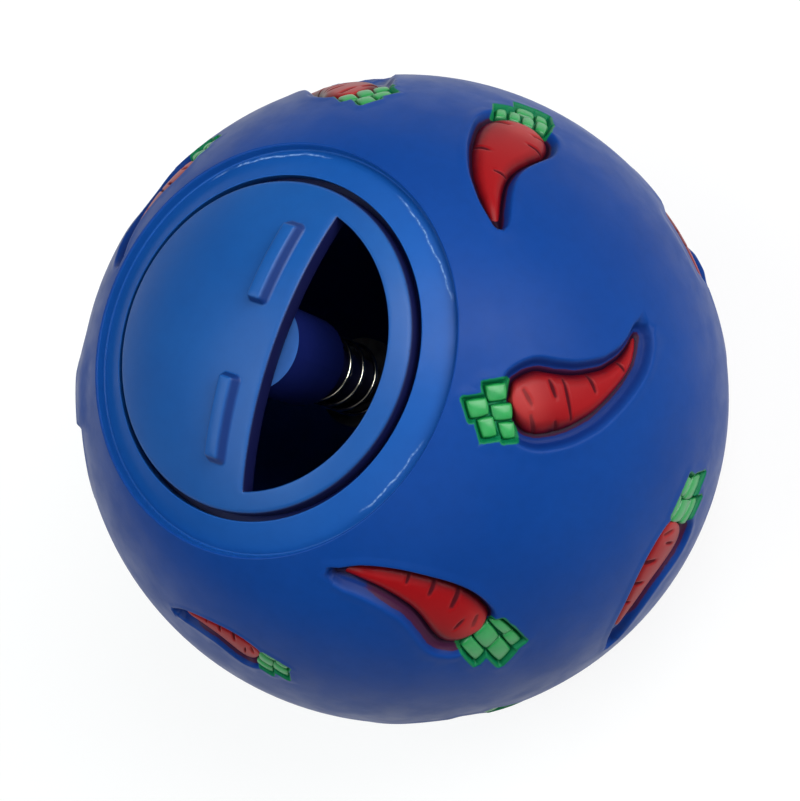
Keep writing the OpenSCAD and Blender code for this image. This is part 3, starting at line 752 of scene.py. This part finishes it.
def carved_skin():
    """The outside, joined up in the plane that the ball is seen in from its pole. Also says
    where the points of its first ring are now."""
    directions = skin_directions()
    plane = directions[:, :2] / (1 + directions[:, 2:3])
    first_far = len(directions) - FAR_SEGMENTS
    faces, order = join_up(plane, ((0, SEGMENTS), (first_far, FAR_SEGMENTS)))
    directions = directions[order]
    middle = np.linalg.norm(plane[order][faces].mean(1), axis=1)
    faces = faces[(middle > math.tan(JUNCTION / 2) * 0.99999) & (middle < math.tan((math.pi - POLE_GAP) / 2))]
    points, normals, paints_and_shade = skin_points(directions)
    a, b, c = (points[faces[:, k]] for k in (0, 1, 2))
    inward = (np.cross(b - a, c - a) * (a + b + c)).sum(1) < 0
    faces[inward] = faces[inward][:, ::-1]
    place = {o: i for i, o in enumerate(order)}
    far = [place[first_far + j] for j in range(FAR_SEGMENTS)]
    pole = len(points)
    faces = [tuple(f) for f in faces.tolist()] + [(pole, b, a) for a, b in zip(far, far[1:] + far[:1])]
    points, normals = (np.vstack([rows, [(0, 0, height)]]) for rows, height in ((points, -R), (normals, -1)))
    return points, normals, paints_and_shade, faces, [place[j] for j in range(SEGMENTS)]


def mouth_z(radius):
    """Height of the sunk ring's floor at a radius."""
    return math.sqrt(LAND_FLOOR_R ** 2 - radius ** 2)


def mouth_profile():
    """The ridge, the sunk ring, the lip, the neck and the inside, from outside in. Also says
    where the profile leaves from and how many of its points belong to the ridge and the ring."""
    def polar(radius, on):
        return math.degrees(math.asin(radius / on))

    ridge_z = math.sqrt(R ** 2 - LAND_R ** 2)
    lip_z = mouth_z(MOUTH_R) - LIP_T
    foot = polar(LAND_FOOT_R, LAND_FLOOR_R)
    start = arc(R, 0, math.degrees(JUNCTION), 0, 1)[0]
    ridge = rounded([tuple(start), (LAND_R + 0.02, ridge_z, 0.3), (LAND_FOOT_R, mouth_z(LAND_FOOT_R), 0.26),
                     tuple(arc(LAND_FLOOR_R, 0, foot - 1.0, 0, 1)[0])], 8)
    floor = arc(LAND_FLOOR_R, 0, foot - 1.1, polar(MOUTH_R, LAND_FLOOR_R) + 0.6, 34)
    lip = rounded([
        tuple(floor[-1]), (MOUTH_R, mouth_z(MOUTH_R), 0.24), (MOUTH_R, lip_z, 0.1),
        (GROOVE_R, lip_z, 0.1), (GROOVE_R, GROOVE_Z, 0.1), (NECK_HOLE_R, GROOVE_Z, 0.1),
        (NECK_HOLE_R, NECK_Z, 0.2), (NECK_R, NECK_Z, 0.3), (NECK_R, NECK_TOP_Z, 0.2),
        tuple(arc(INNER_R, 0, 43.5, 43.5, 1)[0])], 5)
    profile = np.vstack([ridge[1:], floor, lip[1:], arc(INNER_R, 0, 46, 178.5, 60)])
    return start, profile, len(ridge) + len(floor)


def build_skin():
    points, normals, paints_and_shade, faces, outer_ring = carved_skin()
    start, profile, ring_rows = mouth_profile()
    base = len(points)
    a = full_turn(SEGMENTS)
    edge, amount = flash_edge(a)
    ahead = np.vstack([[start], profile, profile[-1:]])
    tangent = ahead[2:] - ahead[:-2]
    side = np.stack([tangent[:, 1], -tangent[:, 0]], 1)
    side /= np.maximum(np.linalg.norm(side, axis=1, keepdims=True), 1e-9)
    flash, turned, turned_normals = [], [], []
    for (at, height), (r, z) in zip(profile, side):
        on_ring = GROOVE_R < at < LAND_FOOT_R - 0.1 and height > mouth_z(at) - FLASH_T
        share = amount if on_ring else amount * 0
        flash.append(share * np.exp(-((at - edge - 0.03) / 0.07) ** 2))
        lift, farther, nearer = (FLASH_T * share * smooth((at + go - edge) / FLASH_STEP) for go in (0, 0.04, -0.04))
        slope = (farther - nearer) / 0.08
        turned.append(np.stack([at * np.cos(a), at * np.sin(a), height + lift], 1))
        out = r - slope * z
        turned_normals.append(unit(np.stack([out * np.cos(a), out * np.sin(a), z + slope * r], 1)))
    points = np.vstack([points, *turned, [(0, 0, -INNER_R)]])
    normals = np.vstack([normals, *turned_normals, [(0, 0, 1)]])
    for j in range(SEGMENTS):
        k = (j + 1) % SEGMENTS
        faces.append((outer_ring[j], outer_ring[k], base + k, base + j))
    first_face = len(faces) + SKIN_ROWS * SEGMENTS
    faces += grid_faces(len(profile), SEGMENTS, True, base)
    pole = len(points) - 1
    last = pole - SEGMENTS
    faces += [(last + j, last + (j + 1) % SEGMENTS, pole) for j in range(SEGMENTS)]
    paints_and_shade = np.vstack([paints_and_shade, np.zeros((len(points) - len(paints_and_shade), 4))])
    values = {name: paints_and_shade[:, k] for k, name in enumerate(("red_paint", "green_paint", "pocket_shade", "crevice_shade"))}
    values["flash"] = np.r_[np.zeros(base), np.concatenate(flash), 0]
    obj = new_mesh("ball_skin", points, faces, skin_material, normals=normals, attributes=values)
    # the ridge and sunk ring take the lighter copy, a painted highlight
    obj.data.materials.append(ring_painted_highlight_material)
    which = np.zeros(len(faces), np.int32)
    which[first_face:first_face + ring_rows * SEGMENTS] = 1
    obj.data.polygons.foreach_set("material_index", which)
    return obj


skin = build_skin()
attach(skin, "ball")
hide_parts("ball_shell")


# ---------------------------------------------------------------- painted carrots
def slab(rows, columns, base=0):
    """Faces of a block whose grid of points on top is followed by the same grid below."""
    count = rows * columns
    top = grid_faces(rows, columns, start=base)
    under = [tuple(i + count for i in reversed(f)) for f in top]
    rim = list(range(columns)) + [r * columns + columns - 1 for r in range(1, rows)] \
        + [(rows - 1) * columns + c for c in range(columns - 2, -1, -1)] \
        + [r * columns for r in range(rows - 2, 0, -1)]
    rim = [base + i for i in rim]
    return top + under + [(a, b, count + b, count + a) for a, b in zip(rim, rim[1:] + rim[:1])]


ROOT_GRID = (161, 33)


def root_template(shape):
    """Flat places, heights over the groove's floor, and colour values of a root: painted shade toward its edges and
    on one side, its nicks, and a painted highlight at the shoulder.
    """
    rows, columns = ROOT_GRID
    u = np.sin(np.linspace(-1, 1, columns) * math.pi / 2)[None]
    h = spline(shape["hollow"], rows)
    b = spline(shape["bulge"], rows)
    middle, half = (h + b) / 2, (h - b) / 2
    flat = middle[:, None] + half[:, None] * u[..., None]
    width = np.linalg.norm(half, axis=1)[:, None]
    inside = width * (1 - np.abs(u))
    x = np.clip(inside / np.clip(width, 1e-3, 1.35), 0, 1)
    flank = np.sqrt(np.clip(1 - (1 - x) ** 2, 0, 1))
    height = smooth(width / 1.2) * (0.92 * flank + 0.22 * (1 - u ** 2) * (width / 3.3))
    # painted shade that grows darker toward the root's edges
    painted_crown_shade = np.clip(inside / np.minimum(1.5, 0.55 * width + 0.2), 0, 1)
    # painted shade on one side of the root, toward the leaves
    painted_crown_shade = painted_crown_shade * (1 - 0.6 * smooth((u * shape["shade"] + 0.05) / 0.9) * smooth((1.5 - flat[..., 0]) / 5))
    flat, height, painted_crown_shade = flat.reshape(-1, 2), height.ravel(), painted_crown_shade.ravel()
    nick = np.zeros(len(flat))
    for a, c, w in shape["nicks"]:
        a, c = np.array(a), np.array(c)
        t = np.clip(((flat - a) @ (c - a)) / ((c - a) @ (c - a)), 0, 1)
        d = np.linalg.norm(flat - a - (c - a) * t[:, None], axis=1)
        nick = np.maximum(nick, smooth(1 - d / (w * 1.6)) * (0.55 + 0.45 * np.sin(math.pi * np.clip(t, 0.1, 0.9))))
    # painted highlight on the shoulder, strongest on the crest
    painted_shoulder_highlight = smooth((-1.5 - flat[:, 0]) / 4.5) * painted_crown_shade
    return flat, height - 0.2 * nick, {"painted_crown_shade": painted_crown_shade, "nick": nick, "painted_shoulder_highlight": painted_shoulder_highlight}


for shape in SHAPES:
    shape["data"] = root_template(shape)


def build_root(index):
    *_, size, shape, bare = CARROTS[index]
    M = FRAMES[index]
    flat, height, values = shape["data"]
    scale = size ** 0.5
    floor = R - ROOT_DEPTH * scale
    top = to_ball(flat * size, floor - 0.06 + height * scale) @ M.T
    bottom = to_ball(flat * size, floor - 0.25) @ M.T
    values = {name: np.r_[on_top, on_top * 0] for name, on_top in values.items()}
    uncovered = smooth((flat[:, 0] - 11.3 + bare) / 1.2) if bare else np.zeros(len(flat))
    values["bare"] = np.r_[uncovered, uncovered]
    obj = new_mesh("painted_root_%02d" % (index + 1), np.vstack([top, bottom]), slab(*ROOT_GRID), red_material,
                   attributes=values)
    clean(obj)
    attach(obj, "ball")
    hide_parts("carrot_root_%02d" % (index + 1))


def clean(obj):
    """Joins the doubled points at pinched ends and turns the faces outward."""
    work = bmesh.new()
    work.from_mesh(obj.data)
    bmesh.ops.remove_doubles(work, verts=work.verts, dist=0.000004)
    bmesh.ops.dissolve_degenerate(work, edges=work.edges, dist=0.000001)
    bmesh.ops.recalc_face_normals(work, faces=work.faces)
    work.to_mesh(obj.data)
    work.free()
    obj.data.update()


def pillow(corners, height, sides):
    """A block with rounded edges over four flat corners: places, heights, and painted shade that darkens it toward
    its edges.
    """
    t = np.sin(np.linspace(-1, 1, sides) * math.pi / 2)
    a, b = np.meshgrid(t, t, indexing="ij")
    k = 0.2
    s, r = ((1 + x * np.sqrt(1 - k * y * y))[..., None] / 2 for x, y in ((a, b), (b, a)))
    c = np.array(corners, float)
    flat = (c[0] * (1 - s) + c[1] * s) * (1 - r) + (c[3] * (1 - s) + c[2] * s) * r
    long = np.linalg.norm(c[1] - c[0] + c[2] - c[3]) / 4
    wide = np.linalg.norm(c[3] - c[0] + c[2] - c[1]) / 4
    inside = np.minimum((1 - np.abs(a)) * long, (1 - np.abs(b)) * wide)
    edge = np.sqrt(np.clip(1 - (1 - np.clip(inside / 0.3, 0, 1)) ** 2, 0, 1))
    dome = (1 - a * a) * (1 - b * b)
    painted_crown_shade = np.clip(0.7 * np.clip(inside / 0.2, 0, 1) + 0.3 * dome, 0, 1)
    return flat.reshape(-1, 2), (height * (0.72 * edge + 0.28 * dome)).ravel(), painted_crown_shade.ravel()


def build_leaves(index):
    *_, size, shape, _ = CARROTS[index]
    M = FRAMES[index]
    scale, sides = size ** 0.5, 19
    floor = R - LEAF_DEPTH * scale
    points, faces, painted_crown_shades = [], [], []
    for number, corners in enumerate(shape["tufts"]):
        flat, z, painted_crown_shade = pillow(corners, 0.74 - 0.05 * (number % 3), sides)
        faces += slab(sides, sides, sum(len(p) for p in points))
        points += [to_ball(flat * size, floor - 0.04 + z * scale) @ M.T,
                   to_ball(flat * size, floor - 0.2) @ M.T]
        painted_crown_shades += [painted_crown_shade, painted_crown_shade * 0]
    obj = new_mesh("painted_leaves_%02d" % (index + 1), np.vstack(points), faces, green_material,
                   attributes={"painted_crown_shade": np.concatenate(painted_crown_shades)})
    clean(obj)
    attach(obj, "ball")
    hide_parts("carrot_leaves_%02d" % (index + 1))


for index in range(len(CARROTS)):
    build_root(index)
    build_leaves(index)

# ---------------------------------------------------------------- dial
DIAL_R, DOME_R, SLOT_X, SLOT_R = 17.3, 34.0, 4.1, 15.2
RIB_X, RIB_FROM, RIB_TO, RIB_W, RIB_H = 0.6, 3.8, 12.8, 2.3, 1.3
UNDER_R, UNDER_MID, RIM_Z, UNDER_EDGE = 33.16, -1.16, 27.37, 16.9
DIAL_SEGMENTS, EDGE_ROUND, RIM_ROUND, UNDER_ROUND, RIB_CORNER = 360, 0.22, 0.4, 0.25, 0.6
RIB_MIDDLE = (RIB_FROM + RIB_TO) / 2


def slot_outline():
    a = math.acos(SLOT_X / SLOT_R)
    t = np.linspace(-a, a, 220)
    curve = np.stack([SLOT_R * np.cos(t), SLOT_R * np.sin(t)], 1)
    top = curve[-1]
    chord = np.stack([np.full(158, SLOT_X), np.linspace(top[1], -top[1], 160)[1:-1]], 1)
    return np.vstack([curve, chord])


def rib_distance(p, sign):
    """Distance to the outline of a rib, a bar with rounded corners; negative inside it."""
    dx = np.abs(p[:, 0] - RIB_X) - (RIB_W / 2 - RIB_CORNER)
    dy = np.abs(p[:, 1] * sign - RIB_MIDDLE) - ((RIB_TO - RIB_FROM) / 2 - RIB_CORNER)
    return np.hypot(np.maximum(dx, 0), np.maximum(dy, 0)) + np.minimum(np.maximum(dx, dy), 0) - RIB_CORNER


def inset_steps(radius):
    """How far from an edge the points of its rounding lie."""
    return [radius * (1 - math.cos(math.radians(a))) for a in (12, 24, 36, 50, 65, 80, 90)]


def drop(d, radius):
    """How much a rounded edge falls, at a distance from it."""
    x = np.clip(d / radius, 0, 1)
    return radius * (1 - np.sqrt(np.clip(1 - (1 - x) ** 2, 0, 1)))


def dial_places(rim, slot):
    """Flat places for the dial's points between its rim and its slot."""
    parts = [rim * (DIAL_R - d) / DIAL_R for d in inset_steps(RIM_ROUND) + [1.1, 1.6]]
    parts += [offset_points(slot, d, 0.22) for d in inset_steps(EDGE_ROUND) + [0.75, 1.2]]
    fine = np.stack(np.meshgrid(np.arange(-2.2, 2.21, 0.11), np.arange(-5.8, 5.81, 0.11), indexing="ij"), 2)
    for sign in (1, -1):
        rib = fine.reshape(-1, 2) * (1, sign) + (RIB_X, sign * RIB_MIDDLE)
        d = rib_distance(rib, sign)
        parts += [rib[(d < 0.55) & (d > -0.75)], rib[d <= -0.75][::3]]
    grid = np.stack(np.meshgrid(np.arange(-17, 17.1, 0.7), np.arange(-17, 17.1, 0.7)), 2).reshape(-1, 2)
    parts.append(grid[np.minimum(np.abs(rib_distance(grid, 1)), np.abs(rib_distance(grid, -1))) > 0.8])
    inner = np.vstack(parts)
    inner = inner[(np.hypot(*inner.T) < DIAL_R - 0.01) & (signed_distance(inner, slot) > 0.012)]
    return inner[thin_out(np.c_[inner, np.zeros(len(inner))], 0.05)]


def build_dial():
    slot = slot_outline()
    count, n = DIAL_SEGMENTS, len(slot)
    a = full_turn(count)
    rim = np.stack([DIAL_R * np.cos(a), DIAL_R * np.sin(a)], 1)
    flat = np.vstack([rim, slot, dial_places(rim, slot)])
    faces, order = join_up(flat, ((0, count), (count, n)))
    flat = flat[order]
    middle = flat[faces].mean(1)
    faces = faces[(signed_distance(middle, slot) > 0) & (np.hypot(middle[:, 0], middle[:, 1]) < DIAL_R)]
    a, b, c = (flat[faces[:, k]] for k in (0, 1, 2))
    under = (b[:, 0] - a[:, 0]) * (c[:, 1] - a[:, 1]) < (b[:, 1] - a[:, 1]) * (c[:, 0] - a[:, 0])
    faces[under] = faces[under][:, ::-1]
    faces = [tuple(f) for f in faces.tolist()]
    r = np.hypot(flat[:, 0], flat[:, 1])
    to_rim, to_slot = DIAL_R - r, signed_distance(flat, slot)

    top = np.sqrt(DOME_R * DOME_R - r * r) - np.maximum(drop(to_rim, RIM_ROUND), drop(to_slot, EDGE_ROUND))
    # flank marks a band along the ribs' sides, painted darker as painted shade
    flank = np.zeros(len(flat))
    for sign in (1, -1):
        d = 0.12 - rib_distance(flat, sign)
        top = top + RIB_H * (0.9 * smooth(d / 0.62) ** 0.9 + 0.1 * smooth(d / 1.2))
        flank = np.maximum(flank, smooth(d / 0.12) * smooth((0.6 - d) / 0.2))
    # wall marks the edge roundings; with the underside and the pin it is painted dark navy as painted shade
    edge = np.minimum(to_rim / RIM_ROUND, to_slot / EDGE_ROUND)
    wall = 1 - smooth((edge - 0.05) / 0.35)
    low = np.where(r < UNDER_EDGE, UNDER_MID + np.sqrt(np.maximum(UNDER_R ** 2 - r * r, 0)), RIM_Z)
    low = np.maximum(low, RIM_Z) + np.maximum(drop(to_rim, UNDER_ROUND), drop(to_slot, UNDER_ROUND))
    below = len(flat)
    out = faces + [tuple(below + i for i in reversed(f)) for f in faces]
    place = {o: i for i, o in enumerate(order)}
    for loop in (range(count), range(count, count + n)):
        loop = [place[j] for j in loop]
        out += [(p, below + p, below + q, q) for p, q in zip(loop, loop[1:] + loop[:1])]
    # the pivot pin and its thin end
    profile = rounded([(0, 32.4), (2.5, 32.4, 0), (2.5, 9.75, 0.15), (1.9, 9.75, 0.05), (1.9, 8.65, 0.15),
                       (0.01, 8.65)], 4)
    pin_points, pin_faces = revolve(profile[1:-1], 64)
    out += [tuple(2 * below + i for i in f) for f in pin_faces]
    # the underside and the pin take the full painted shade
    rest = np.ones(below + len(pin_points))
    obj = new_mesh("dial_disc", np.vstack([np.c_[flat, top], np.c_[flat, low], pin_points]), out, dial_material,
                   attributes={"wall": np.r_[wall, rest], "flank": np.r_[flank, rest * 0]})
    clean(obj)
    return obj


dial = build_dial()
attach(dial, "dial")
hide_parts("dial")


# ---------------------------------------------------------------- spring
def build_spring():
    wire, coil, pitch, turns = 0.45, 7.24 / 2, 2.6, 4
    top, bottom = 21.0, 9.7
    steps, sides = 72 * turns, 14
    t = np.linspace(0, 1, steps + 1)
    angle = t * turns * 2 * math.pi
    path = np.stack([coil * np.cos(angle), coil * np.sin(angle), top - wire - pitch * turns * t], 1)
    straight = np.stack([np.full(5, coil), np.zeros(5)], 1)
    path = np.vstack([np.c_[straight, top - wire * np.linspace(0, 1, 6)[:-1]], path,
                      np.c_[straight, np.linspace(path[-1, 2], bottom, 6)[1:]]])
    angles = np.r_[np.zeros(5), angle, np.full(5, angle[-1])]
    out = np.stack([np.cos(angles), np.sin(angles), np.zeros(len(angles))], 1)
    up = unit(np.cross(unit(np.gradient(path, axis=0)), out))
    b = full_turn(sides)[:, None]
    points = (path[:, None] + (out[:, None] * np.cos(b) + up[:, None] * np.sin(b)) * wire / 2).reshape(-1, 3)
    faces = grid_faces(len(path), sides, True)
    faces.append(tuple(range(sides)))
    faces.append(tuple(reversed(range(len(points) - sides, len(points)))))
    obj = new_mesh("coil_spring", points, faces, spring_material)
    clean(obj)
    return obj


spring = build_spring()
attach(spring, "ball")
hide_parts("spring")
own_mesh(spring)

for node, material in (("mouth_insert", insert_material), ("thrust_washer", plain_material),
                       ("retaining_screw", plain_material)):
    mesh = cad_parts[node].data
    mesh.materials.clear()
    mesh.materials.append(material)


# ---------------------------------------------------------------- floor and light
def make_floor():
    """A pale floor that the camera and clear or glossy things see as white, with the ball's shadow."""
    half, low = 3.0, -0.0002
    mesh = bpy.data.meshes.new("floor")
    corners = [(x * half, y * half, low) for x, y in ((-1, -1), (1, -1), (1, 1), (-1, 1))]
    mesh.from_pydata(corners, [], [(0, 1, 2, 3)])
    obj = bpy.data.objects.new("floor", mesh)
    scene.collection.objects.link(obj)
    material = bpy.data.materials.new("pale_floor")
    material.use_nodes = True
    tree = material.node_tree
    tree.nodes.clear()
    output, diffuse, glow, path, add = (tree.nodes.new("ShaderNode" + kind) for kind in (
        "OutputMaterial", "BsdfDiffuse", "Emission", "LightPath", "AddShader"))
    diffuse.inputs["Color"].default_value = (0.22, 0.22, 0.22, 1)
    seen_by = math_node(tree, "ADD", path.outputs["Is Camera Ray"], path.outputs["Is Glossy Ray"])
    seen_by = math_node(tree, "ADD", seen_by, path.outputs["Is Transmission Ray"])
    put(tree, glow.inputs["Strength"], math_node(tree, "MULTIPLY", seen_by, 0.8))
    tree.links.new(diffuse.outputs[0], add.inputs[0])
    tree.links.new(glow.outputs[0], add.inputs[1])
    tree.links.new(add.outputs[0], output.inputs["Surface"])
    mesh.materials.append(material)


make_floor()
world = bpy.data.worlds.new("world")
scene.world = world
world.use_nodes = True
world.node_tree.nodes["Background"].inputs["Color"].default_value = (1, 1, 1, 1)
world.node_tree.nodes["Background"].inputs["Strength"].default_value = 0.16
LAMP_DISTANCE = 0.9


def area(name, right, up, toward, wide, tall, power, color=(1, 1, 1)):
    """A soft lamp that faces the ball, from a direction as the camera sees it; tall runs up the picture."""
    light = bpy.data.lights.new(name, "AREA")
    light.shape = "ELLIPSE"
    light.size, light.size_y = wide, tall
    light.energy = power
    light.color = color
    obj = bpy.data.objects.new(name, light)
    scene.collection.objects.link(obj)
    d = RIGHT * right + UP * up + VIEW * toward
    d /= np.linalg.norm(d)
    high = UP - d * (UP @ d)
    high /= np.linalg.norm(high)
    obj.matrix_world = looking_from(d, high, LAMP_DISTANCE)


area("key", 0.63, 0.30, 0.72, 0.6, 0.7, 5.2)
area("upper", 0.15, 0.42, 0.89, 0.55, 0.55, 4.2)
area("left", -0.76, -0.05, 0.63, 0.5, 1.2, 5.0, (0.86, 0.98, 1.0))
area("side", 0.94, 0.25, 0.15, 0.4, 0.8, 1.4)
area("top", 0.1, 0.9, 0.4, 0.7, 0.7, 0.8)
area("low", 0.1, -0.5, 0.85, 0.7, 0.7, 1.3)
